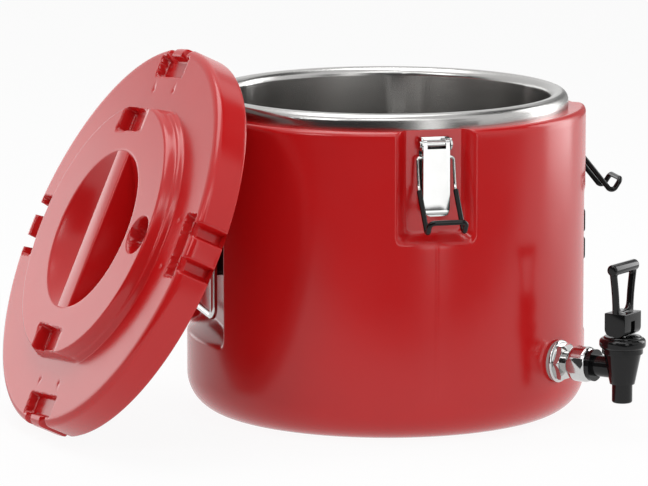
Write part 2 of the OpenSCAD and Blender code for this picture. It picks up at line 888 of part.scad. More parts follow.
// Closing spring: one tube swept along a helix between the cup and the bonnet
module tap_spring() {
    low = seat_z + free_gap + cup_h + spring_wire_r;
    rise = bonnet_top_z - bonnet_plate - spring_wire_r - low;
    steps = spring_turns * spring_rings;
    tilt = atan(rise / (360 * spring_turns * PI / 180 * spring_r));
    points = [for (i = [0:steps], k = [0:spring_sides - 1])
        let (
            turn = 360 * i / spring_rings,
            side = 360 * k / spring_sides,
            out = spring_r + spring_wire_r * cos(side),
            up = spring_wire_r * sin(side)
        )
        [
            out * cos(turn) + up * sin(tilt) * sin(turn),
            out * sin(turn) - up * sin(tilt) * cos(turn),
            low + rise * i / steps + up * cos(tilt)
        ]];
    rows = [for (i = [0:steps - 1], k = [0:spring_sides - 1])
        let (a = i * spring_sides, n = (k + 1) % spring_sides)
        each [
            [a + k, a + spring_sides + k, a + spring_sides + n],
            [a + k, a + spring_sides + n, a + n]
        ]];
    end = steps * spring_sides;
    caps = concat(
        [for (k = [1:spring_sides - 2]) [0, k, k + 1]],
        [for (k = [1:spring_sides - 2]) [end, end + k + 1, end + k]]
    );
    color("silver") on_tap_axis() polyhedron(points, concat(rows, caps));
}

module tap_lever() {
    color("#1a1a1a") on_tap_axis() difference() {
        union() {
            intersection() {
                across(2 * foot_half_w) foot_2d();
                linear_extrude(far) foot_plan_2d();
            }
            through(-stirrup_d / 2, stirrup_d / 2) stirrup_2d();
            cross_rod(stirrup_bar / 2, stirrup_w, 0, stirrup_top_z - stirrup_bar / 2);
        }
        translate([-stem_r - free_gap, -far / 2, foot_z - over])
            cube([2 * (stem_r + free_gap), far, lever_pin_up + stem_head + stem_room + over]);
        cross_rod(lever_pin_r, far, 0, lever_pin_z);
    }
}

// Side profile of the lever's foot: round lower corners that roll on the bonnet
module foot_2d() {
    translate([-foot_half_d, foot_z + foot_round])
        square([2 * foot_half_d, foot_h - foot_round]);
    translate([foot_round - foot_half_d, foot_z]) square([2 * (foot_half_d - foot_round), foot_h]);
    for (s = [-1, 1]) translate([s * (foot_half_d - foot_round), foot_z + foot_round]) circle(foot_round);
}

// Plan of the foot, with its four corners cut off
module foot_plan_2d() {
    w = foot_half_w;
    d = foot_half_d;
    c = foot_cut;
    polygon([
        [c - w, -d], [w - c, -d], [w, c - d], [w, d - c],
        [w - c, d], [c - w, d], [-w, d - c], [-w, c - d]]);
}

// Front profile of the stirrup: two legs round a tapered opening
module stirrup_2d() {
    top = stirrup_top_z - stirrup_bar / 2;
    low = foot_z + foot_h;
    half = stirrup_w / 2;
    gap = half - stirrup_leg;
    neck = foot_half_w - foot_step;
    eye_z = low + stirrup_eye_up;
    difference() {
        polygon([
            [-neck, low - stirrup_sink], [neck, low - stirrup_sink], [neck, low],
            [half - stirrup_in, low + stirrup_shoulder], [half, top], [-half, top],
            [stirrup_in - half, low + stirrup_shoulder], [-neck, low]
        ]);
        polygon([[-gap, top + over], [gap, top + over], [stirrup_eye_r, eye_z], [-stirrup_eye_r, eye_z]]);
        translate([0, eye_z]) circle(stirrup_eye_r);
    }
}

module tap_lever_pin() {
    color("silver") on_tap_axis() cross_rod(lever_pin_r, 2 * foot_half_w - foot_step, 0, lever_pin_z);
}

// Lid, drawn lying flat and then leant against the body

module leaning() {
    rotate([0, 0, 180 + lid_turn]) translate([lid_out, -lid_shift, lid_z])
        rotate([0, 90 - lid_lean, 0]) rotate([0, 0, 90 + lid_spin]) children();
}

// Outside of the lid: a round rim, and a stepped middle with two flats beside the pockets
module lid_block() {
    rotate_extrude() drum_2d(lid_r, lid_rim_h, lid_low_round, lid_top_round);
    translate([0, 0, -lid_plug_h]) rotate_extrude()
        drum_2d(pot_r - plug_inset, lid_plug_h + lid_skin, plug_edge, plug_edge);
    intersection() {
        translate([0, 0, lid_rim_h - tier_h]) rotate_extrude() {
            drum_2d(plateau_r + tier_step, 2 * tier_h, tier_foot, tier_round);
            drum_2d(plateau_r, plateau_h + tier_h, tier_foot, plateau_round);
        }
        translate([-far / 2, -plateau_flat, 0]) cube([far, 2 * plateau_flat, far]);
    }
}

module grip_bowl() {
    ball_r = (bowl_r * bowl_r + bowl_depth * bowl_depth) / (2 * bowl_depth);
    translate([0, 0, plateau_z - bowl_depth + ball_r]) sphere(ball_r);
}

module grip_bar() {
    translate([-grip_bar_w / 2, -bowl_r - over, plateau_z - grip_bar_t])
        cube([grip_bar_w, 2 * (bowl_r + over), grip_bar_t]);
}

// Foam core of the lid, clear of the bowl, the pockets and the vent
module lid_core() {
    difference() {
        union() {
            translate([0, 0, lid_skin]) cylinder(r = core_r, h = core_low_z - lid_skin);
            translate([0, 0, lid_skin]) linear_extrude(core_z - lid_skin) ring_2d(core_r, core_low_r);
        }
        at_vent() cylinder(r = vent_hole_r + lid_skin, h = far);
    }
}

module at_vent() {
    translate([vent_reach, 0, 0]) children();
}

// One latch seat in the lid's rim: a slot for the hook and two grooves for the legs
module latch_seat() {
    top = lid_rim_h - lid_slot_depth;
    translate([slot_in_r, -lid_slot_len / 2, top])
        cube([slot_out_r - slot_in_r, lid_slot_len, far]);
    for (s = [-1, 1]) translate([leg_groove_r, s * bail_half - slot_groove_w / 2, -over])
        cube([far, slot_groove_w, far]);
}

// Wedge pocket: a floor that slopes down to one end wall
module stacking_pocket() {
    half = pocket_len / 2;
    translate([0, pocket_w / 2, 0]) rotate([90, 0, 0]) linear_extrude(pocket_w)
        polygon([
            [-half, plateau_z - pocket_depth], [half, plateau_z],
            [half, plateau_z + over], [-half, plateau_z + over]
        ]);
}

module lid_shell() {
    color("firebrick") leaning() difference() {
        union() {
            difference() {
                lid_block();
                grip_bowl();
            }
            grip_bar();
        }
        lid_core();
        translate([0, 0, -over]) linear_extrude(rim_groove_depth + over)
            ring_2d(groove_out_r, groove_in_r);
        for (a = [0:90:270]) rotate([0, 0, a]) latch_seat();
        for (s = [-1, 1]) translate([0, s * pocket_reach, 0]) stacking_pocket();
        at_vent() {
            translate([0, 0, plateau_z - vent_depth]) cylinder(r = vent_r, h = far);
            translate([0, 0, -lid_plug_h - over]) cylinder(r = vent_hole_r, h = far);
        }
    }
}

module lid_insulation() {
    color("khaki") leaning() lid_core();
}

module lid_gasket() {
    color("white") leaning() translate([0, 0, -gasket_proud])
        linear_extrude(gasket_proud + rim_groove_depth) ring_2d(groove_out_r, groove_in_r);
}

module lid_vent_plug() {
    color("#333333") leaning() at_vent() {
        translate([0, 0, -lid_plug_h]) cylinder(r = vent_hole_r, h = plateau_z - vent_depth + lid_plug_h);
        translate([0, 0, plateau_z - vent_depth]) cylinder(r = vent_plug_r, h = vent_plug_t);
    }
}

outer_shell();
base_plate();
body_insulation();
inner_pot();
latch_rivets();
handle_screws();
for (s = SIDES) {
    at_side(s) latch_base();
    at_side(s) latch_pin();
    at_side(s) latch_lever();
    at_side(s) latch_bail(s);
    at_side(s) bail_sleeve(s);
}
for (s = HANDLE_SIDES) {
    at_side(s) handle_bracket();
    at_side(s) handle_bail();
}
tap_gasket();
tap_washer();
tap_nut();
tap_shank();
tap_inner_gasket();
tap_inner_nut();
tap_collar();
tap_body();
tap_bonnet();
tap_stem();
tap_seat_cup();
tap_spring();
tap_lever();
tap_lever_pin();
lid_shell();
lid_insulation();
lid_gasket();
lid_vent_plug();
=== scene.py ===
"""Dressed model of an insulated food container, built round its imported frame.

The body skin, the loose lid and the tap lever get finer meshes than the frame
has. The pot and the fittings keep the shapes of the frame, and the fittings that
show get rounded edges. Every finish is a node material on Object coordinates.
The studio is laid out in metres; the fields of the pieces are in millimetres.
"""

import json
import logging
import math
from dataclasses import dataclass, field
from enum import Enum
from typing import Optional, Sequence

import bmesh
import bpy
from mathutils import Matrix, Vector


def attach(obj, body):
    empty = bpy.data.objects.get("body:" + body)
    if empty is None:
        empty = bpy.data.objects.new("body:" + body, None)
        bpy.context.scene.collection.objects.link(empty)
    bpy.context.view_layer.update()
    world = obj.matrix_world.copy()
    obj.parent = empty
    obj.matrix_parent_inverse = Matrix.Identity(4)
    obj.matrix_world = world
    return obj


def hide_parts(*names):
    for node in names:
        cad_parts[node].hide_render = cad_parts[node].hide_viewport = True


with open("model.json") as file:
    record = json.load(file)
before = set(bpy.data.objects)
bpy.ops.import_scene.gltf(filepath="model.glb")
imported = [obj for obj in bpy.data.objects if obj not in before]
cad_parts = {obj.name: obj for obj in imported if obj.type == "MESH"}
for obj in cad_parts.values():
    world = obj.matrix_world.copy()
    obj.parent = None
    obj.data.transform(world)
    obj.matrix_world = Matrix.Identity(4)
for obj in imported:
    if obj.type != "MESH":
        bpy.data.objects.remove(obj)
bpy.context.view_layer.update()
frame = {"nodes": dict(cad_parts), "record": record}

LOG = logging.getLogger("food_container")
MM = 0.001
FAR = 1e3
SHARP_OVER = 32.0
Socket = bpy.types.NodeSocket


class Slot(Enum):
    """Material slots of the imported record."""

    RED_PLASTIC = "red_plastic"
    FOAM = "foam"
    BRUSHED_STEEL = "brushed_steel"
    BRIGHT_STEEL = "bright_steel"
    STEEL_WIRE = "steel_wire"
    BLACK_COATING = "black_coating"
    BLACK_PLASTIC = "black_plastic"
    GREY_SEAL = "grey_seal"
    PLATED_BRASS = "plated_brass"


class Side(Enum):
    """Sides of the body that carry a latch, as an angle about the body axis."""

    FRONT = ("front", -90.0)
    RIGHT = ("right", 0.0)
    BACK = ("back", 90.0)
    LEFT = ("left", 180.0)

    @property
    def word(self) -> str:
        """Name of the side as the nodes use it."""
        return self.value[0]

    @property
    def angle(self) -> float:
        """Direction of the side about +Z, in radians from +X."""
        return math.radians(self.value[1])


class Grain(Enum):
    """Direction of the brush lines on a metal."""

    ROUND_AXIS = "round_axis"
    ALONG_Z = "along_z"
    NONE = "none"


class NodeBench:
    """Node tree of one material, with a short call for each kind of node."""

    def __init__(self, name: str) -> None:
        """Starts an empty tree with its output.

        Args:
            name: Name of the material.
        """
        self.material = bpy.data.materials.new(name)
        self.material.use_nodes = True
        self.tree = self.material.node_tree
        self.tree.nodes.clear()
        self.output = self.add("ShaderNodeOutputMaterial")

    def add(self, kind: str, **settings: object) -> bpy.types.Node:
        """Adds a node and sets its properties.

        Args:
            kind: Blender's type name of the node.
            **settings: Properties of the node.

        Returns:
            The new node.
        """
        node = self.tree.nodes.new(kind)
        for key, value in settings.items():
            setattr(node, key, value)
        return node

    def wire(self, source: object, target: Socket) -> None:
        """Links a socket to an input, or sets the input to a plain value.

        Args:
            source: Output socket, number or colour.
            target: Input socket.
        """
        if isinstance(source, bpy.types.NodeSocket):
            self.tree.links.new(source, target)
        else:
            target.default_value = source

    def place(self) -> Socket:
        """Returns the Object coordinates, in metres."""
        return self.add("ShaderNodeTexCoord").outputs["Object"]

    def split(self, vector: Socket) -> tuple[Socket, Socket, Socket]:
        """Splits a vector into its three numbers.

        Args:
            vector: Vector to split.

        Returns:
            The x, y and z sockets.
        """
        node = self.add("ShaderNodeSeparateXYZ")
        self.wire(vector, node.inputs[0])
        return node.outputs[0], node.outputs[1], node.outputs[2]

    def join(self, x: object, y: object, z: object) -> Socket:
        """Joins three numbers into a vector.

        Args:
            x: First number or socket.
            y: Second number or socket.
            z: Third number or socket.

        Returns:
            The vector socket.
        """
        node = self.add("ShaderNodeCombineXYZ")
        for value, target in zip((x, y, z), node.inputs):
            self.wire(value, target)
        return node.outputs[0]

    def sum_up(self, operation: str, first: object, second: object = 0.0) -> Socket:
        """Works out one number from two.

        Args:
            operation: Blender's name of the operation.
            first: First number or socket.
            second: Second number or socket.

        Returns:
            The result socket.
        """
        node = self.add("ShaderNodeMath", operation=operation)
        self.wire(first, node.inputs[0])
        self.wire(second, node.inputs[1])
        return node.outputs[0]

    def stretch(self, vector: Socket, scale: Sequence[float]) -> Socket:
        """Scales a vector by three factors.

        Args:
            vector: Vector to scale.
            scale: Factor for each axis.

        Returns:
            The scaled vector socket.
        """
        node = self.add("ShaderNodeMapping")
        self.wire(vector, node.inputs["Vector"])
        node.inputs["Scale"].default_value = scale
        return node.outputs[0]

    def round_axis(self, place: Socket) -> Socket:
        """Direction round the body axis at a place.

        Args:
            place: Object coordinates.

        Returns:
            The direction socket.
        """
        node = self.add("ShaderNodeVectorMath", operation="CROSS_PRODUCT")
        node.inputs[0].default_value = (0.0, 0.0, 1.0)
        self.wire(place, node.inputs[1])
        return node.outputs[0]

    def noise(self, vector: Socket, scale: float, detail: float = 2.0) -> Socket:
        """Soft noise from 0 to 1.

        Args:
            vector: Place to read the noise at.
            scale: Number of blobs in a metre.
            detail: Number of finer layers.

        Returns:
            The noise socket.
        """
        node = self.add("ShaderNodeTexNoise")
        self.wire(vector, node.inputs["Vector"])
        node.inputs["Scale"].default_value = scale
        node.inputs["Detail"].default_value = detail
        return node.outputs[0]

    def span(self, value: Socket, low: float, high: float, to: tuple[float, float]) -> Socket:
        """Maps a number from one span to another, held at both ends.

        Args:
            value: Number to map.
            low: Start of its span.
            high: End of its span.
            to: Ends of the new span.

        Returns:
            The mapped socket.
        """
        node = self.add("ShaderNodeMapRange", clamp=True)
        for source, target in zip((value, low, high, *to), node.inputs):
            self.wire(source, target)
        return node.outputs[0]

    def blend(self, factor: Socket, first: Sequence[float], second: Sequence[float]) -> Socket:
        """Blends two colours.

        Args:
            factor: 0 for the first colour, 1 for the second.
            first: First colour, linear.
            second: Second colour, linear.

        Returns:
            The colour socket.
        """
        node = self.add("ShaderNodeValToRGB")
        self.wire(factor, node.inputs[0])
        node.color_ramp.elements[0].color = (*first, 1.0)
        node.color_ramp.elements[1].color = (*second, 1.0)
        return node.outputs[0]

    def bump(
        self, height: Socket, strength: float, depth: float, under: Optional[Socket] = None
    ) -> Socket:
        """Raises the surface by a height.

        Args:
            height: Height from 0 to 1.
            strength: Share of the effect.
            depth: Length of a full height.
            under: Bumped normal to add to.

        Returns:
            The normal socket.
        """
        node = self.add("ShaderNodeBump")
        node.inputs["Strength"].default_value = strength
        node.inputs["Distance"].default_value = depth
        self.wire(height, node.inputs["Height"])
        if under is not None:
            self.wire(under, node.inputs["Normal"])
        return node.outputs[0]

    def surface(self, **inputs: object) -> bpy.types.Material:
        """Closes the tree with a principled shader.

        Args:
            **inputs: Sockets or values by input name, with _ for a space.

        Returns:
            The finished material.
        """
        shader = self.add("ShaderNodeBsdfPrincipled")
        for key, value in inputs.items():
            self.wire(value, shader.inputs[key.replace("_", " ")])
        self.wire(shader.outputs[0], self.output.inputs["Surface"])
        return self.material


@dataclass(frozen=True)
class MouldedPlastic:
    """Moulded plastic with a fine stipple and a slow drift of colour."""

    name: str
    shade: tuple[float, float, float]
    light: tuple[float, float, float]
    rough: tuple[float, float]
    stipple: float
    peel: float
    specular: float = 0.5

    def make(self) -> bpy.types.Material:
        """Returns the material of this plastic."""
        bench = NodeBench(self.name)
        place = bench.place()
        drift = bench.span(bench.noise(place, 9.0, 3.0), 0.3, 0.7, (0.0, 1.0))
        colour = bench.blend(drift, self.shade, self.light)
        grain = bench.noise(place, 1500.0, 1.0)
        scuff = bench.noise(place, 34.0, 5.0)
        rough = bench.span(scuff, 0.3, 0.72, self.rough)
        normal = bench.bump(bench.noise(place, 70.0, 2.0), self.peel, 0.4 * MM)
        normal = bench.bump(grain, self.stipple, 0.1 * MM, normal)
        return bench.surface(
            Base_Color=colour,
            Roughness=rough,
            Normal=normal,
            Specular_IOR_Level=self.specular,
        )


@dataclass(frozen=True)
class WorkedMetal:
    """Metal with brush lines, fine scratches and a faint cloud of tarnish."""

    name: str
    dull: tuple[float, float, float]
    bright: tuple[float, float, float]
    rough: tuple[float, float]
    grain: Grain = Grain.NONE
    depth: float = 0.15
    along: float = 0.0

    def make(self) -> bpy.types.Material:
        """Returns the material of this metal."""
        bench = NodeBench(self.name)
        place = bench.place()
        x, y, z = bench.split(place)
        if self.grain is Grain.ROUND_AXIS:
            reach = bench.sum_up("SQRT", bench.sum_up(
                "ADD", bench.sum_up("MULTIPLY", x, x), bench.sum_up("MULTIPLY", y, y)))
            turn = bench.sum_up("ARCTAN2", y, x)
            lines = bench.join(
                bench.sum_up("MULTIPLY", z, 1900.0),
                bench.sum_up("MULTIPLY", reach, 1900.0),
                bench.sum_up("MULTIPLY", turn, 2.5))
            streak = bench.noise(lines, 1.0, 3.0)
        elif self.grain is Grain.ALONG_Z:
            streak = bench.noise(bench.stretch(place, (2600.0, 2600.0, 60.0)), 1.0, 2.0)
        else:
            streak = bench.noise(place, 900.0, 3.0)
        cloud = bench.noise(place, 26.0, 3.0)
        colour = bench.blend(bench.span(
            bench.sum_up("ADD", streak, cloud), 0.7, 1.3, (0.0, 1.0)), self.dull, self.bright)
        rough = bench.span(streak, 0.25, 0.75, self.rough)
        inputs: dict[str, object] = {
            "Base_Color": colour, "Metallic": 1.0, "Roughness": rough,
            "Normal": bench.bump(streak, self.depth, 0.04 * MM)}
        if self.along > 0.0:
            inputs["Anisotropic"] = self.along
            inputs["Tangent"] = bench.round_axis(place)
        return bench.surface(**inputs)


@dataclass(frozen=True)
class SoftRubber:
    """Matte seal or coating with a fine pebbled skin."""

    name: str
    shade: tuple[float, float, float]
    light: tuple[float, float, float]
    rough: tuple[float, float]
    pebble: float = 0.25
    specular: float = 0.5

    def make(self) -> bpy.types.Material:
        """Returns the material of this rubber."""
        bench = NodeBench(self.name)
        place = bench.place()
        fine = bench.noise(place, 1700.0, 2.0)
        broad = bench.noise(place, 60.0, 3.0)
        return bench.surface(
            Base_Color=bench.blend(broad, self.shade, self.light),
            Roughness=bench.span(fine, 0.3, 0.7, self.rough),
            Normal=bench.bump(fine, self.pebble, 0.08 * MM),
            Specular_IOR_Level=self.specular,
        )


@dataclass(frozen=True)
class CellFoam:
    """Rigid foam with open cut cells, with painted shade darkening the pit of each cell."""

    name: str = "cut_foam"
    # Darker tan painted as shade in the pits of the cells; the lighter tan is the foam of the
    # walls between them.
    cell: tuple[float, float, float] = (0.56, 0.44, 0.22)
    wall: tuple[float, float, float] = (0.78, 0.67, 0.42)

    def make(self) -> bpy.types.Material:
        """Returns the material of the foam."""
        bench = NodeBench(self.name)
        place = bench.place()
        cells = bench.add("ShaderNodeTexVoronoi")
        bench.wire(place, cells.inputs["Vector"])
        cells.inputs["Scale"].default_value = 700.0
        depth = bench.span(cells.outputs["Distance"], 0.05, 0.6, (0.0, 1.0))
        return bench.surface(
            # Painted shade: where the depth is low, in the pit of a cell, the colour goes to the
            # darker tan.
            Base_Color=bench.blend(depth, self.cell, self.wall),
            Roughness=0.92,
            Normal=bench.bump(depth, 0.6, 0.5 * MM),
        )


@dataclass
class FinishShelf:
    """All finishes of the container, one for each slot."""

    made: dict[Slot, bpy.types.Material] = field(default_factory=dict)

    def fill(self) -> None:
        """Makes the material of every slot."""
        recipes = {
            Slot.RED_PLASTIC: MouldedPlastic(
                "red_moulded_plastic", (0.50, 0.006, 0.007), (0.54, 0.0075, 0.0085),
                (0.19, 0.23), 0.03, 0.004, 0.5),
            Slot.BLACK_PLASTIC: MouldedPlastic(
                "black_gloss_plastic", (0.003, 0.003, 0.0033), (0.006, 0.006, 0.0064),
                (0.08, 0.14), 0.02, 0.01, 0.3),
            Slot.BRUSHED_STEEL: WorkedMetal(
                "pot_brushed_steel", (0.40, 0.395, 0.385), (0.47, 0.465, 0.455),
                (0.20, 0.27), Grain.ROUND_AXIS, 0.05, 0.65),
            Slot.BRIGHT_STEEL: WorkedMetal(
                "latch_bright_steel", (0.45, 0.45, 0.445), (0.52, 0.52, 0.515),
                (0.10, 0.20), Grain.ALONG_Z, 0.04),
            Slot.STEEL_WIRE: WorkedMetal(
                "drawn_steel_wire", (0.52, 0.52, 0.51), (0.70, 0.70, 0.69),
                (0.14, 0.26), Grain.NONE, 0.06),
            Slot.PLATED_BRASS: WorkedMetal(
                "bright_plating", (0.54, 0.54, 0.535), (0.62, 0.62, 0.615),
                (0.05, 0.10), Grain.NONE, 0.01),
            Slot.BLACK_COATING: SoftRubber(
                "black_dipped_coating", (0.002, 0.002, 0.002), (0.004, 0.004, 0.004),
                (0.12, 0.20), 0.02, 0.25),
            Slot.GREY_SEAL: SoftRubber(
                "grey_seal_rubber", (0.38, 0.38, 0.37), (0.50, 0.50, 0.49), (0.5, 0.7), 0.2),
            Slot.FOAM: CellFoam(),
        }
        self.made = {slot: recipe.make() for slot, recipe in recipes.items()}

    def dress(self, obj: bpy.types.Object, slot: Slot) -> None:
        """Puts one finish on a whole object.

        Args:
            obj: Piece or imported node.
            slot: Slot of the finish.
        """
        obj.data.materials.clear()
        obj.data.materials.append(self.made[slot])


class Workbench:
    """Turns bmesh shapes into finished pieces that ride on a body."""

    def __init__(self, finishes: FinishShelf) -> None:
        """Keeps the finishes at hand.

        Args:
            finishes: Finishes by slot.
        """
        self.finishes = finishes

    def merged_copy(self, node: str, flat_angle: float = 0.6) -> bmesh.types.BMesh:
        """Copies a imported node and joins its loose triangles.

        Args:
            node: Name of the node.
            flat_angle: Faces that meet within these degrees are joined to one.

        Returns:
            The joined shape.
        """
        shape = bmesh.new()
        shape.from_mesh(frame["nodes"][node].data)
        bmesh.ops.remove_doubles(shape, verts=shape.verts, dist=0.004 * MM)
        if flat_angle > 0.0:
            bmesh.ops.dissolve_limit(
                shape, angle_limit=math.radians(flat_angle), use_dissolve_boundaries=False,
                verts=shape.verts, edges=shape.edges, delimit={"NORMAL"})
        return shape

    def soften(self, shape: bmesh.types.BMesh, width: float) -> None:
        """Rounds every sharp outer edge.

        Args:
            shape: Shape to change.
            width: Width of the rounding, in metres.
        """
        sharp = [
            edge for edge in shape.edges
            if edge.is_manifold and edge.is_convex
            and edge.calc_face_angle(0.0) > math.radians(SHARP_OVER)]
        round_edges(shape, sharp, width, 2)

    def shade(self, shape: bmesh.types.BMesh, crease: float) -> None:
        """Shades smoothly, apart from creases.

        Args:
            shape: Shape to change.
            crease: Angle in degrees from which an edge stays sharp.
        """
        for face in shape.faces:
            face.smooth = True
        for edge in shape.edges:
            edge.smooth = edge.calc_face_angle(0.0) < math.radians(crease)

    def finish(
        self, name: str, shape: bmesh.types.BMesh, body: str, slot: Slot,
        replaced: Sequence[str] = (), crease: float = 40.0,
    ) -> bpy.types.Object:
        """Makes a piece of a shape and hands it to its body.

        Args:
            name: Name of the piece.
            shape: Shape in the frame; it is freed.
            body: Body that the piece rides on.
            slot: Slot of its finish.
            replaced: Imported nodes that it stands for.
            crease: Angle in degrees from which an edge stays sharp.

        Returns:
            The new object.
        """
        self.shade(shape, crease)
        mesh = bpy.data.meshes.new(name)
        shape.to_mesh(mesh)
        shape.free()
        piece = bpy.data.objects.new(name, mesh)
        bpy.context.scene.collection.objects.link(piece)
        self.finishes.dress(piece, slot)
        if replaced:
            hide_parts(*replaced)
        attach(piece, body)
        LOG.info("%s: %d faces on %s", name, len(mesh.polygons), body)
        return piece

    def rounded_node(
        self, node: str, piece: str, body: str, slot: Slot, width: float
    ) -> bpy.types.Object:
        """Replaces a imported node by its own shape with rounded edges.

        Args:
            node: Name of the node.
            piece: Name of the new piece.
            body: Body that the piece rides on.
            slot: Slot of its finish.
            width: Width of the rounding, in metres.

        Returns:
            The new object.
        """
        shape = self.merged_copy(node)
        self.soften(shape, width)
        return self.finish(piece, shape, body, slot, (node,), 22.0)


def round_edges(
    shape: bmesh.types.BMesh, edges: Sequence[bmesh.types.BMEdge], width: float,
    segments: int, clamp: bool = True,
) -> None:
    """Rounds edges of a shape.

    Args:
        shape: Shape to change.
        edges: Edges to round.
        width: Width of the rounding, in the shape's unit.
        segments: Number of faces across the rounding.
        clamp: Whether the width gives way where roundings would meet.
    """
    bmesh.ops.bevel(
        shape, geom=edges, offset=width, offset_type="OFFSET", affect="EDGES",
        segments=segments, profile=0.5, material=-1, clamp_overlap=clamp)


def soft_min(first: float, second: float, reach: float) -> float:
    """Lesser of two numbers, with a rounded change from one to the other.

    Args:
        first: First number.
        second: Second number.
        reach: Difference within which the change is rounded.

    Returns:
        The rounded lesser number.
    """
    share = max(reach - abs(first - second), 0.0) / reach
    return min(first, second) - share * share * reach / 4.0


def soft_max(first: float, second: float, reach: float) -> float:
    """Greater of two numbers, with a rounded change from one to the other.

    Args:
        first: First number.
        second: Second number.
        reach: Difference within which the change is rounded.

    Returns:
        The rounded greater number.
    """
    return -soft_min(-first, -second, reach)


def spread(start: float, stop: float, step: float) -> list[float]:
    """Evenly spaced numbers after a start, up to and with a stop.

    Args:
        start: Number before the first.
        stop: Last number.
        step: Widest spacing.

    Returns:
        The numbers.
    """
    count = max(1, math.ceil(abs(stop - start) / step - 1e-6))
    return [start + (stop - start) * (i + 1) / count for i in range(count)]


def arc(
    centre: tuple[float, float], radius: float, first: float, last: float, count: int
) -> list[tuple[float, float]]:
    """Points on an arc of a profile.

    Args:
        centre: Radius and height of the arc's centre.
        radius: Radius of the arc.
        first: First angle in degrees, from outwards to up.
        last: Last angle in degrees.
        count: Number of steps.

    Returns:
        The points, first and last included.
    """
    return [
        (centre[0] + radius * math.cos(math.radians(first + (last - first) * i / count)),
         centre[1] + radius * math.sin(math.radians(first + (last - first) * i / count)))
        for i in range(count + 1)]


def lathe(
    points: Sequence[tuple[float, float]], turns: Sequence[tuple[float, int]], closed: bool
) -> bmesh.types.BMesh:
    """Spins a profile round +Z, starting at -X, in arcs of their own fineness.

    Args:
        points: Radius and height of the profile's points.
        turns: Angle in degrees and number of steps of each arc; they add up to a circle.
        closed: Whether the last point joins the first.

    Returns:
        The closed shape with its faces outwards.
    """
    shape = bmesh.new()
    row = [shape.verts.new((-r, 0.0, z)) for r, z in points]
    rim = [shape.edges.new(pair) for pair in zip(row, row[1:])]
    if closed:
        rim.append(shape.edges.new((row[-1], row[0])))
    geom: list = row + rim
    for angle, steps in turns:
        geom = bmesh.ops.spin(
            shape, geom=geom, cent=(0, 0, 0), axis=(0, 0, 1), angle=math.radians(angle),
            steps=steps, use_merge=False)["geom_last"]
    bmesh.ops.remove_doubles(shape, verts=shape.verts, dist=0.01 * MM)
    bmesh.ops.recalc_face_normals(shape, faces=shape.faces)
    return shape


@dataclass(frozen=True)
class Recess:
    """A drafted pocket moulded into the skin of the body."""

    side: Side
    floor: float
    half: float
    low: float
    high: Optional[float]
    draft: float = 0.82
    sill: float = 0.6
    lip: float = 3.6
    corner: float = 14.0
    floor_blend: float = 2.0
    least_lean: float = 0.15

    def reach(self, turn: float, height: float) -> float:
        """Distance of the pocket's wall from the body axis.

        Args:
            turn: Angle from the middle of the pocket, in radians.
            height: Height above the floor, in millimetres.

        Returns:
            The distance in millimetres, large where there is no pocket.
        """
        across = math.cos(turn)
        lean = self.draft * across - math.sin(abs(turn))
        if lean < self.least_lean:
            return FAR
        wall = (self.draft * self.floor - self.half) / lean
        sill = self.floor + (self.low - height) / self.sill
        if self.high is not None:
            head = self.floor + (height - self.high) / self.sill
            sill = soft_max(sill, head, self.floor_blend)
        return soft_max(
            soft_max(wall, sill, self.corner), self.floor / across, self.floor_blend)


@dataclass
class BodySkin:
    """Red moulded skin of the body, with its latch and handle recesses."""

    radius: float = 170.0
    height: float = 261.0
    base_fillet: float = 32.0
    shoulder: float = 5.0
    wall: float = 4.0
    mouth: float = 142.0
    foot: float = 120.0
    latch_floor: float = 157.0
    latch_half: float = 25.0
    latch_low: float = 175.0
    handle_floor: float = 149.0
    handle_half: float = 57.0
    handle_low: float = 81.0
    handle_high: float = 177.0
    seam: float = 0.28

    def recesses(self) -> list[Recess]:
        """Returns the pockets of the skin."""
        latches = [
            Recess(side, self.latch_floor, self.latch_half, self.latch_low, None)
            for side in Side]
        handles = [
            Recess(side, self.handle_floor, self.handle_half, self.handle_low, self.handle_high)
            for side in (Side.RIGHT, Side.LEFT)]
        return latches + handles

    def profile(self) -> list[tuple[float, float]]:
        """Returns the outline of the skin, outside first, in millimetres."""
        r, h, base, top = self.radius, self.height, self.base_fillet, self.shoulder
        points = [(self.foot, 0.0)]
        points += arc((r - base, base), base, -90.0, 0.0, 18)
        points += [(r, z) for z in spread(base, 60.0, 5.0)]
        points += [(r, z) for z in spread(60.0, 194.0, 1.5)]
        points += [(r, z) for z in spread(194.0, h - top, 4.0)]
        points += arc((r - top, h - top), top, 0.0, 90.0, 8)[1:]
        points += [(x, h) for x in spread(r - top, self.mouth, 1.6)]
        points += [(self.mouth, self.wall), (self.foot, self.wall)]
        return points

    def shape(self) -> bmesh.types.BMesh:
        """Returns the skin as one closed wall, in metres."""
        fine, plain, rest = (64.0, 136), (34.0, 90), (41.0, 18)
        turns = [(32.0, 68), rest, plain, rest, fine, rest, plain, rest, (32.0, 68)]
        shape = lathe(self.profile(), turns, True)
        pockets = self.recesses()
        for vert in shape.verts:
            r, z = vert.co.xy.length, vert.co.z
            if z < 40.0 or r < 100.0:
                continue
            turn = math.atan2(vert.co.y, vert.co.x)
            new = r
            for pocket in pockets:
                off = (turn - pocket.side.angle + math.pi) % (2 * math.pi) - math.pi
                new = soft_min(new, pocket.reach(off, z), pocket.lip)
            if abs(abs(turn) - math.pi / 2) < 1e-3 and z < self.latch_low - 4.0 and r > self.mouth:
                new += self.seam
            vert.co.xy *= new / r
        bmesh.ops.scale(shape, vec=(MM, MM, MM), verts=shape.verts)
        return shape

    def build(self, bench: Workbench) -> None:
        """Builds the skin.

        Args:
            bench: Bench that makes the pieces.
        """
        bench.finish(
            "body_skin", self.shape(), "container", Slot.RED_PLASTIC,
            ("outer_shell",), 50.0)


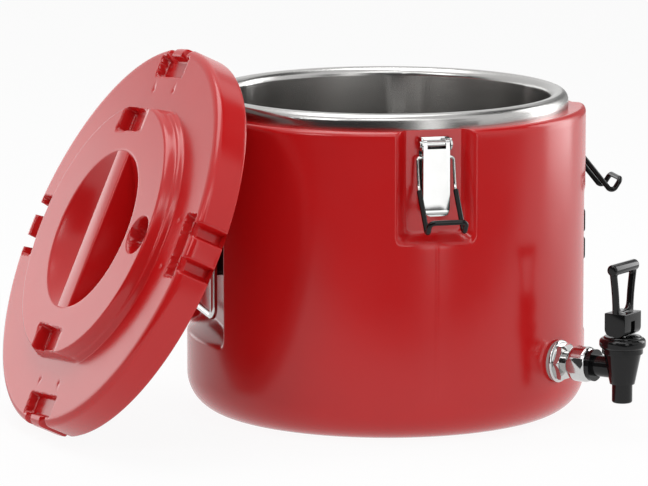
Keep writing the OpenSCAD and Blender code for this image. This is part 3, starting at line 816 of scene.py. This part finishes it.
@dataclass
class SteelPot:
    """Stainless pot with a rolled rim, in the shape of the frame."""

    node: str = "inner_pot"

    def build(self, bench: Workbench) -> None:
        """Builds the pot.

        Args:
            bench: Bench that makes the pieces.
        """
        bench.finish(
            "pot", bench.merged_copy(self.node, 0.0), "container", Slot.BRUSHED_STEEL,
            (self.node,))


@dataclass
class LooseLid:
    """Red lid that leans on the body, drawn in its own frame with its underside at zero."""

    lean: float = 25.8
    turn: float = 9.1
    spin: float = 6.0
    out: float = 229.94
    shift: float = 4.2
    lift: float = 152.683
    radius: float = 170.0
    rim: float = 29.0
    edge: float = 6.0
    top: float = 43.0
    tier: float = 34.0
    plateau: float = 112.5
    tier_step: float = 5.0
    flat: float = 109.5
    bowl: float = 70.5
    bowl_depth: float = 28.0
    bar: tuple[float, float] = (24.5, 27.0)
    pocket: tuple[float, float, float] = (24.5, 9.5, 11.5)
    pocket_middle: tuple[float, float] = (-4.0, 98.5)
    vent: tuple[float, float, float] = (94.0, 14.3, 14.0)
    slot: tuple[float, float, float] = (152.0, 8.0, 26.0)
    slot_depth: float = 8.0
    leg: tuple[float, float, float] = (158.5, 15.5, 4.5)
    plug: tuple[float, float] = (136.0, 8.1)
    wall_slope: float = 7.0
    groove: tuple[float, float, float] = (141.0, 154.0, 4.0)
    dent: tuple[float, float, float, float] = (131.0, 20.0, 0.9, 1.7)

    def place(self) -> Matrix:
        """Returns the place of the lid, from its own frame in millimetres."""
        return (
            Matrix.Rotation(math.radians(180.0 + self.turn), 4, "Z")
            @ Matrix.Translation(Vector((self.out, self.shift, self.lift)) * MM)
            @ Matrix.Rotation(math.radians(90.0 - self.lean), 4, "Y")
            @ Matrix.Rotation(math.radians(90.0 + self.spin), 4, "Z")
            @ Matrix.Scale(MM, 4))

    def hollow(self, height: float, floor: float, outside: float, lip: float) -> float:
        """Lowers a surface into a hollow with sloped walls.

        Args:
            height: Height of the surface.
            floor: Height of the hollow's floor.
            outside: Distance outside the hollow's outline.
            lip: Size of the rounded lip.

        Returns:
            The new height.
        """
        wall = soft_max(floor, floor + self.wall_slope * outside, 3.0)
        return soft_min(height, wall, lip)

    def raised(self, height: float, top: float, outside: float, edge: float) -> float:
        """Raises a surface to a platform with sloped walls.

        Args:
            height: Height of the surface.
            top: Height of the platform.
            outside: Distance outside the platform's outline.
            edge: Size of the platform's rounded edge.

        Returns:
            The new height.
        """
        wall = soft_min(top, top - 0.4 * self.wall_slope * outside, edge)
        return soft_max(height, wall, 1.6)

    def box_gap(self, across: float, along: float, half: tuple[float, float]) -> float:
        """Distance outside a rectangle, negative inside.

        Args:
            across: Distance from its middle one way.
            along: Distance from its middle the other way.
            half: Half sizes both ways.

        Returns:
            The distance.
        """
        a, b = abs(across) - half[0], abs(along) - half[1]
        return math.hypot(max(a, 0.0), max(b, 0.0)) + min(max(a, b), 0.0)

    def height(self, x: float, y: float) -> float:
        """Height of the lid's top at a point.

        Args:
            x: Place across the grip bar.
            y: Place along the grip bar.

        Returns:
            The height above the underside.
        """
        reach = math.hypot(x, y)
        level = self.rim
        for top, radius, edge in (
                (self.tier, self.plateau + self.tier_step, 2.4), (self.top, self.plateau, 5.0)):
            if reach < radius + 12.0:
                outside = max(reach - radius, 2.0 * (abs(y) - self.flat))
                level = self.raised(level, top, outside, edge)
        if reach < self.bowl + 6.0:
            ball = (self.bowl ** 2 + self.bowl_depth ** 2) / (2 * self.bowl_depth)
            dish = self.top - self.bowl_depth + ball - math.sqrt(ball ** 2 - reach ** 2)
            level = soft_min(level, dish, 1.2)
        half, wide, deep = self.pocket
        along, across = x - self.pocket_middle[0], abs(y) - self.pocket_middle[1]
        if abs(across) < wide + 8.0 and abs(along) < half + 8.0:
            floor = self.top - deep * (half - along) / (2 * half)
            gap = self.box_gap(along, across, (half, wide))
            level = self.hollow(level, floor, gap, 1.5)
        reach_vent, hole, depth = self.vent
        level = self.hollow(level, self.top - depth, math.hypot(x - reach_vent, y) - hole, 3.5)
        for away, along in ((x, y), (y, x)):
            middle, half_w, half_l = self.slot
            gap = self.box_gap(abs(away) - middle, along, (half_w, half_l))
            if gap < 8.0:
                level = self.hollow(level, self.rim - self.slot_depth, gap, 1.5)
            dent_reach, dent_off, dent_depth, dent_size = self.dent
            gap = math.hypot(abs(away) - dent_reach, abs(along) - dent_off)
            level -= dent_depth * math.exp(-(gap / dent_size) ** 2)
        return level

    def rim_reach(self, turn: float) -> float:
        """Reach of the lid's side, less where a bail's leg sits.

        Args:
            turn: Angle about the lid's axis.

        Returns:
            The radius.
        """
        off = (turn + math.pi / 4) % (math.pi / 2) - math.pi / 4
        low, middle, half = self.leg
        gap = abs(abs(self.radius * math.sin(off)) - middle) - half
        return soft_max(low, low + 6.0 * gap, 2.0)

    def profile(self) -> list[tuple[float, float]]:
        """Returns the outline of the lid from the middle of its top, in millimetres."""
        edge, rim, r = self.edge, self.rim, self.radius
        points = [(0.0, rim)]
        for start, stop, step in (
                (0.0, 66.0, 3.3), (66.0, 74.0, 0.9), (74.0, 110.0, 1.3),
                (110.0, 122.0, 0.75), (122.0, 128.0, 3.0), (128.0, 134.0, 1.0),
                (134.0, 141.0, 3.5), (141.0, r - edge, 1.0)):
            points += [(x, rim) for x in spread(start, stop, step)]
        points += arc((r - edge, rim - edge), edge, 90.0, 0.0, 9)[1:]
        points += [(r, z) for z in spread(rim - edge, 2.0, 2.1)]
        points += arc((r - 2.0, 2.0), 2.0, 0.0, -90.0, 4)[1:]
        plug_r, plug_h = self.plug
        near, far, deep = self.groove
        points += [(far, 0.0), (far, deep), (near, deep), (near, 0.0), (plug_r, 0.0)]
        points += [(plug_r, 2.0 - plug_h)]
        points += arc((plug_r - 2.0, 2.0 - plug_h), 2.0, 0.0, -90.0, 4)[1:]
        points += [(90.0, -plug_h), (0.0, -plug_h)]
        return points

    def shell(self) -> bmesh.types.BMesh:
        """Returns the moulding of the lid, in its own frame in millimetres."""
        fine, rest = (36.0, 90), (54.0, 40)
        turns = [(18.0, 45), rest, fine, rest, fine, rest, fine, rest, (18.0, 45)]
        shape = lathe(self.profile(), turns, False)
        for vert in shape.verts:
            r, z = vert.co.xy.length, vert.co.z
            if z <= 0.0 or (z < 5.0 and r < self.radius - 6.0):
                continue
            if r > 130.0:
                new = soft_min(r, self.rim_reach(math.atan2(vert.co.y, vert.co.x)), 1.5)
                vert.co.xy *= new / r
            level = self.height(vert.co.x, vert.co.y)
            vert.co.z = level if z >= self.rim - 0.01 else min(z, soft_min(z + 1.2, level, 2.4))
        return shape

    def grip(self) -> bmesh.types.BMesh:
        """Returns the grip bar across the bowl, in the lid's frame in millimetres."""
        wide, thick = self.bar
        shape = bmesh.new()
        bmesh.ops.create_cube(shape, size=1.0)
        bmesh.ops.scale(shape, vec=(wide, 2 * self.bowl + 5.0, thick), verts=shape.verts)
        bmesh.ops.translate(
            shape, vec=(0.0, 0.0, self.top - 0.35 - thick / 2), verts=shape.verts)
        round_edges(shape, shape.edges[:], 2.2, 4, clamp=False)
        return shape

    def build(self, bench: Workbench) -> None:
        """Builds the lid.

        Args:
            bench: Bench that makes the pieces.
        """
        for name, shape, crease in (
                ("lid_moulding", self.shell(), 75.0), ("lid_grip_bar", self.grip(), 40.0)):
            bmesh.ops.transform(shape, matrix=self.place(), verts=shape.verts)
            bench.finish(name, shape, "lid", Slot.RED_PLASTIC, ("lid_shell",), crease)


@dataclass
class TapLever:
    """Black moulded lever of the tap: a forked foot, a stirrup and a bar."""

    axis_reach: float = 233.0
    axis_turn: float = 43.5
    foot_low: float = 84.6
    foot_top: float = 104.05
    foot_half: tuple[float, float] = (14.0, 9.7)
    foot_roll: float = 6.0
    foot_edge: float = 3.0
    slot_half: float = 3.30
    slot_top: float = 97.05
    depth: float = 6.2
    edge: float = 2.0
    bar_height: float = 141.3
    bar_radius: float = 4.75
    bar_length: float = 40.0
    outer: tuple[tuple[float, float], ...] = (
        (0.0, 97.0), (6.5, 97.0), (13.2, 97.0), (13.8, 101.0), (13.9, 105.0), (14.1, 111.0),
        (15.0, 119.0), (16.6, 128.0), (18.4, 136.0), (19.0, 141.0), (13.0, 142.5), (0.0, 142.5))
    inner: tuple[tuple[float, float], ...] = (
        (0.0, 105.2), (4.2, 105.5), (7.4, 106.9), (9.2, 109.4), (9.9, 113.0), (10.4, 118.0),
        (11.2, 123.5), (12.3, 129.5), (13.3, 134.0), (13.6, 136.2), (11.5, 137.4), (0.0, 137.4))

    def place(self) -> Matrix:
        """Returns the place of the lever, from its own frame in millimetres."""
        return (
            Matrix.Rotation(math.radians(self.axis_turn), 4, "Z")
            @ Matrix.Scale(MM, 4)
            @ Matrix.Translation((0.0, -self.axis_reach, 0.0)))

    def stirrup(self) -> bmesh.types.BMesh:
        """Returns the stirrup with its round opening, in its own frame."""
        shape = bmesh.new()
        for side in (-1.0, 1.0):
            rows = [
                [shape.verts.new((side * x, -self.depth / 2, z)) for x, z in row]
                for row in (self.outer, self.inner)]
            for i in range(len(self.outer) - 1):
                shape.faces.new((rows[0][i], rows[0][i + 1], rows[1][i + 1], rows[1][i]))
        bmesh.ops.remove_doubles(shape, verts=shape.verts, dist=0.01)
        bmesh.ops.recalc_face_normals(shape, faces=shape.faces)
        back = bmesh.ops.extrude_face_region(shape, geom=shape.faces[:])["geom"]
        bmesh.ops.translate(
            shape, vec=(0.0, self.depth, 0.0),
            verts=[item for item in back if isinstance(item, bmesh.types.BMVert)])
        bmesh.ops.recalc_face_normals(shape, faces=shape.faces)
        sharp = [edge for edge in shape.edges if edge.calc_face_angle(0.0) > math.radians(60.0)]
        round_edges(shape, sharp, self.edge, 4)
        return shape

    def bar(self) -> bmesh.types.BMesh:
        """Returns the bar with its rounded ends, in its own frame."""
        shape = bmesh.new()
        bmesh.ops.create_cone(
            shape, cap_ends=True, segments=40, radius1=self.bar_radius,
            radius2=self.bar_radius, depth=self.bar_length)
        rims = [edge for edge in shape.edges if edge.calc_face_angle(0.0) > math.radians(60.0)]
        round_edges(shape, rims, self.edge, 5, clamp=False)
        lift = Matrix.Translation((0.0, 0.0, self.bar_height))
        turn = lift @ Matrix.Rotation(math.pi / 2, 4, "Y")
        bmesh.ops.transform(shape, matrix=turn, verts=shape.verts)
        return shape

    def foot(self) -> bmesh.types.BMesh:
        """Returns the forked foot with its round lower corners, in its own frame."""
        wide, deep = self.foot_half
        low, high, slot, slot_top = self.foot_low, self.foot_top, self.slot_half, self.slot_top
        shape = bmesh.new()
        front = [shape.verts.new((x, -deep, z)) for x, z in (
            (-wide, low), (-slot, low), (-slot, slot_top), (slot, slot_top),
            (slot, low), (wide, low), (wide, high), (-wide, high))]
        face = shape.faces.new(front)
        back = bmesh.ops.extrude_face_region(shape, geom=[face])["geom"]
        bmesh.ops.translate(
            shape, vec=(0.0, 2 * deep, 0.0),
            verts=[item for item in back if isinstance(item, bmesh.types.BMVert)])
        bmesh.ops.recalc_face_normals(shape, faces=shape.faces)
        for offset, top in ((self.foot_roll, False), (self.foot_edge, True)):
            edges = []
            for edge in shape.edges:
                ends = [vert.co for vert in edge.verts]
                sharp = edge.calc_face_angle(0.0) > math.radians(60.0)
                upper = all(end.z > low + 0.1 for end in ends)
                outer = all(abs(end.x) > slot + 0.1 for end in ends)
                along = abs(ends[0].y - ends[1].y) < 0.01 and all(
                    abs(end.z - low) < 0.01 for end in ends)
                if sharp and ((upper and outer) if top else along):
                    edges.append(edge)
            round_edges(shape, edges, offset, 5)
        return shape

    def build(self, bench: Workbench) -> None:
        """Builds the lever.

        Args:
            bench: Bench that makes the pieces.
        """
        for name, shape, crease in (
                ("tap_lever_stirrup", self.stirrup(), 40.0), ("tap_lever_bar", self.bar(), 40.0),
                ("tap_lever_foot", self.foot(), 30.0)):
            bmesh.ops.transform(shape, matrix=self.place(), verts=shape.verts)
            bench.finish(
                name, shape, "tap_lever", Slot.BLACK_PLASTIC, ("tap_lever",), crease)


@dataclass
class Studio:
    """Camera, floor and soft light."""

    lens: float = 294.7
    sensor: float = 36.0
    spot: tuple[float, float, float] = (-1.1177, -4.3293, 0.8945)
    heading: float = 13.8
    dip: float = 0.167
    ambient: float = 0.29
    floor_glow: float = 0.45

    def camera(self) -> None:
        """Sets the camera at the photograph's view."""
        data = bpy.data.cameras.new("photo_camera")
        data.sensor_width = self.sensor
        data.lens = self.lens
        data.clip_end = 50.0
        camera = bpy.data.objects.new("photo_camera", data)
        turn = math.radians(self.heading)
        look = Vector((
            math.cos(self.dip) * math.sin(turn),
            math.cos(self.dip) * math.cos(turn),
            -math.sin(self.dip)))
        camera.location = self.spot
        camera.rotation_euler = look.to_track_quat("-Z", "Y").to_euler()
        bpy.context.scene.collection.objects.link(camera)
        bpy.context.scene.camera = camera

    def seen_directly(self, bench_tree: bpy.types.NodeTree) -> Socket:
        """Makes a switch that is 1 for rays that show the background.

        Args:
            bench_tree: Tree to add the switch to.

        Returns:
            The switch socket.
        """
        path = bench_tree.nodes.new("ShaderNodeLightPath")
        total: Socket = path.outputs["Is Camera Ray"]
        for name in ("Is Glossy Ray", "Is Transmission Ray"):
            either = bench_tree.nodes.new("ShaderNodeMath")
            either.operation = "MAXIMUM"
            bench_tree.links.new(total, either.inputs[0])
            bench_tree.links.new(path.outputs[name], either.inputs[1])
            total = either.outputs[0]
        return total

    def backdrop(self) -> None:
        """Sets a white background that lights the object softly."""
        world = bpy.data.worlds.new("white_room")
        world.use_nodes = True
        tree = world.node_tree
        tree.nodes.clear()
        shown = tree.nodes.new("ShaderNodeBackground")
        shown.inputs[0].default_value = (1.0, 1.0, 1.0, 1.0)
        shown.inputs[1].default_value = 1.0
        light = tree.nodes.new("ShaderNodeBackground")
        light.inputs[0].default_value = (1.0, 1.0, 1.0, 1.0)
        light.inputs[1].default_value = self.ambient
        mix = tree.nodes.new("ShaderNodeMixShader")
        out = tree.nodes.new("ShaderNodeOutputWorld")
        tree.links.new(self.seen_directly(tree), mix.inputs[0])
        tree.links.new(light.outputs[0], mix.inputs[1])
        tree.links.new(shown.outputs[0], mix.inputs[2])
        tree.links.new(mix.outputs[0], out.inputs["Surface"])
        bpy.context.scene.world = world

    def floor(self) -> None:
        """Lays a pale floor that keeps a faint shadow."""
        shape = bmesh.new()
        bmesh.ops.create_grid(shape, x_segments=1, y_segments=1, size=6.0)
        bmesh.ops.translate(shape, vec=(0.0, 0.0, -0.2 * MM), verts=shape.verts)
        mesh = bpy.data.meshes.new("studio_floor")
        shape.to_mesh(mesh)
        shape.free()
        floor = bpy.data.objects.new("studio_floor", mesh)
        bench = NodeBench("pale_floor")
        matte = bench.add("ShaderNodeBsdfDiffuse")
        matte.inputs[0].default_value = (0.92, 0.92, 0.92, 1.0)
        glow = bench.add("ShaderNodeEmission")
        glow.inputs[1].default_value = 1.0
        mix = bench.add("ShaderNodeMixShader")
        share = bench.sum_up("ADD", bench.sum_up(
            "MULTIPLY", self.seen_directly(bench.tree), 0.93 - self.floor_glow), self.floor_glow)
        bench.wire(share, mix.inputs[0])
        bench.wire(matte.outputs[0], mix.inputs[1])
        bench.wire(glow.outputs[0], mix.inputs[2])
        bench.wire(mix.outputs[0], bench.output.inputs["Surface"])
        mesh.materials.append(bench.material)
        bpy.context.scene.collection.objects.link(floor)

    def softbox(
        self, name: str, spot: Sequence[float], aim: Sequence[float],
        size: tuple[float, float], watts: float,
    ) -> None:
        """Adds one soft box.

        Args:
            name: Name of the lamp.
            spot: Place of the lamp.
            aim: Point that it faces.
            size: Width and height.
            watts: Power of the lamp.
        """
        data = bpy.data.lights.new(name, "AREA")
        data.shape = "RECTANGLE"
        data.size, data.size_y = size
        data.energy = watts
        lamp = bpy.data.objects.new(name, data)
        lamp.location = spot
        lamp.rotation_euler = (Vector(aim) - Vector(spot)).to_track_quat("-Z", "Y").to_euler()
        lamp.visible_camera = False
        bpy.context.scene.collection.objects.link(lamp)

    def dark_card(
        self, name: str, spot: Sequence[float], aim: Sequence[float],
        size: tuple[float, float], tone: float,
    ) -> None:
        """Adds a dark card that only shows in reflections.

        Args:
            name: Name of the card.
            spot: Middle of the card.
            aim: Point that it faces.
            size: Width and height.
            tone: Grey of the card.
        """
        shape = bmesh.new()
        bmesh.ops.create_grid(shape, x_segments=1, y_segments=1, size=0.5)
        bmesh.ops.scale(shape, vec=(size[0], size[1], 1.0), verts=shape.verts)
        turn = (Vector(aim) - Vector(spot)).to_track_quat("-Z", "Y").to_matrix().to_4x4()
        bmesh.ops.transform(
            shape, matrix=Matrix.Translation(Vector(spot)) @ turn, verts=shape.verts)
        mesh = bpy.data.meshes.new(name)
        shape.to_mesh(mesh)
        shape.free()
        card = bpy.data.objects.new(name, mesh)
        bench = NodeBench(name)
        glow = bench.add("ShaderNodeEmission")
        glow.inputs[0].default_value = (tone, tone, tone, 1.0)
        bench.wire(glow.outputs[0], bench.output.inputs["Surface"])
        mesh.materials.append(bench.material)
        card.visible_camera = False
        card.visible_diffuse = False
        card.visible_shadow = False
        bpy.context.scene.collection.objects.link(card)

    def build(self) -> None:
        """Sets up the whole studio."""
        bpy.context.scene.view_settings.view_transform = "Standard"
        self.camera()
        self.backdrop()
        self.floor()
        middle = (0.0, 0.0, 0.15)
        for lamp in (
                ("strip_box", (0.25, -1.15, 0.62), (0.0, -0.1, 0.62), (0.28, 1.24), 2.5),
                ("right_box", (1.55, 0.28, 0.72), (0.0, 0.0, 0.72), (0.75, 1.44), 13.0),
                ("left_box", (-2.4, -1.5, 2.0), middle, (0.9, 0.9), 13.0),
                ("front_box", (-0.5, -1.9, 2.3), middle, (1.4, 0.5), 8.0),
                ("top_box", (-0.3, 0.3, 2.6), middle, (2.0, 1.4), 32.0),
                ("back_box", (-1.75, 2.3, 0.35), (0.0, 0.0, 0.2), (2.6, 0.8), 8.5)):
            self.softbox(*lamp)
        for card in (
                ("front_card", (-0.7, -3.4, 1.3), (-0.7, 0.0, 1.3), (6.0, 2.6), 0.04),
                ("left_card", (-3.2, -1.6, 1.3), (0.0, 0.0, 1.3), (4.0, 2.6), 0.06),
                ("high_card", (2.2, 0.4, 2.4), (0.0, 0.0, 0.2), (2.4, 2.0), 0.06),
                ("edge_card", (1.35, 1.6, 0.7), (0.0, 0.0, 0.7), (1.0, 1.4), 0.30),
                ("low_card", (-0.6, -2.08, 0.004), (-0.6, -2.08, 1.0), (5.0, 3.0), 0.05)):
            self.dark_card(*card)


@dataclass
class Fittings:
    """Latches, drop handles and tap: shapes of the frame with rounded edges."""

    sheet_edge: float = 0.35
    moulded_edge: float = 0.8
    turned_edge: float = 0.3
    lever_bend: float = 2.6

    def kept(self, bench: Workbench, slots: dict[str, Slot]) -> None:
        """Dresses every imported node.

        Args:
            bench: Bench that dresses the nodes.
            slots: Slot of each node.
        """
        for name, node in sorted(frame["nodes"].items()):
            bench.finishes.dress(node, slots[name])

    def round_off(self, bench: Workbench, slots: dict[str, Slot]) -> None:
        """Replaces the fittings that show by the same shapes with rounded edges.

        Args:
            bench: Bench that makes the pieces.
            slots: Slot of each node.
        """
        widths = {
            "tap_collar": self.turned_edge,
            "tap_washer": self.turned_edge, "tap_body": self.moulded_edge,
            "tap_bonnet": self.moulded_edge}
        for side in ("right", "left"):
            widths[f"handle_bracket_{side}"] = self.moulded_edge
        for node, width in widths.items():
            bench.rounded_node(
                node, f"{node}_rounded", "container", slots[node], width * MM)
        for side in Side:
            node = f"latch_base_{side.word}"
            bench.rounded_node(
                node, f"{node}_rounded", "container", slots[node], self.sheet_edge * MM)
            self.lever(bench, side, slots[f"latch_lever_{side.word}"])

    def lever(self, bench: Workbench, side: Side, slot: Slot) -> None:
        """Replaces one latch lever by the same shape with wide bends along its face.

        Args:
            bench: Bench that makes the piece.
            side: Side of the body that the lever is on.
            slot: Slot of its finish.
        """
        node = f"latch_lever_{side.word}"
        out = Vector((math.cos(side.angle), math.sin(side.angle), 0.0))
        along = Vector((-out.y, out.x, 0.0))
        shape = bench.merged_copy(node)
        bends = []
        for edge in shape.edges:
            if edge.is_manifold and edge.is_convex:
                facing = max(face.normal.dot(out) for face in edge.link_faces)
                sideways = max(abs(face.normal.dot(along)) for face in edge.link_faces)
                if facing > 0.85 and sideways > 0.85:
                    bends.append(edge)
        round_edges(shape, bends, self.lever_bend * MM, 4)
        bench.soften(shape, self.sheet_edge * MM)
        bench.finish(f"{node}_rounded", shape, f"lever_{side.word}", slot, (node,), 9.0)


def main() -> None:
    """Builds the container piece by piece."""
    logging.basicConfig(level=logging.INFO, format="%(name)s: %(message)s")
    Studio().build()
    finishes = FinishShelf()
    finishes.fill()
    bench = Workbench(finishes)
    slots = {
        row["node"]: Slot(row["material_slot"]) for row in frame["record"]["subparts"]}
    fittings = Fittings()
    fittings.kept(bench, slots)
    fittings.round_off(bench, slots)
    BodySkin().build(bench)
    SteelPot().build(bench)
    LooseLid().build(bench)
    TapLever().build(bench)


if __name__ == "__main__":
    main()
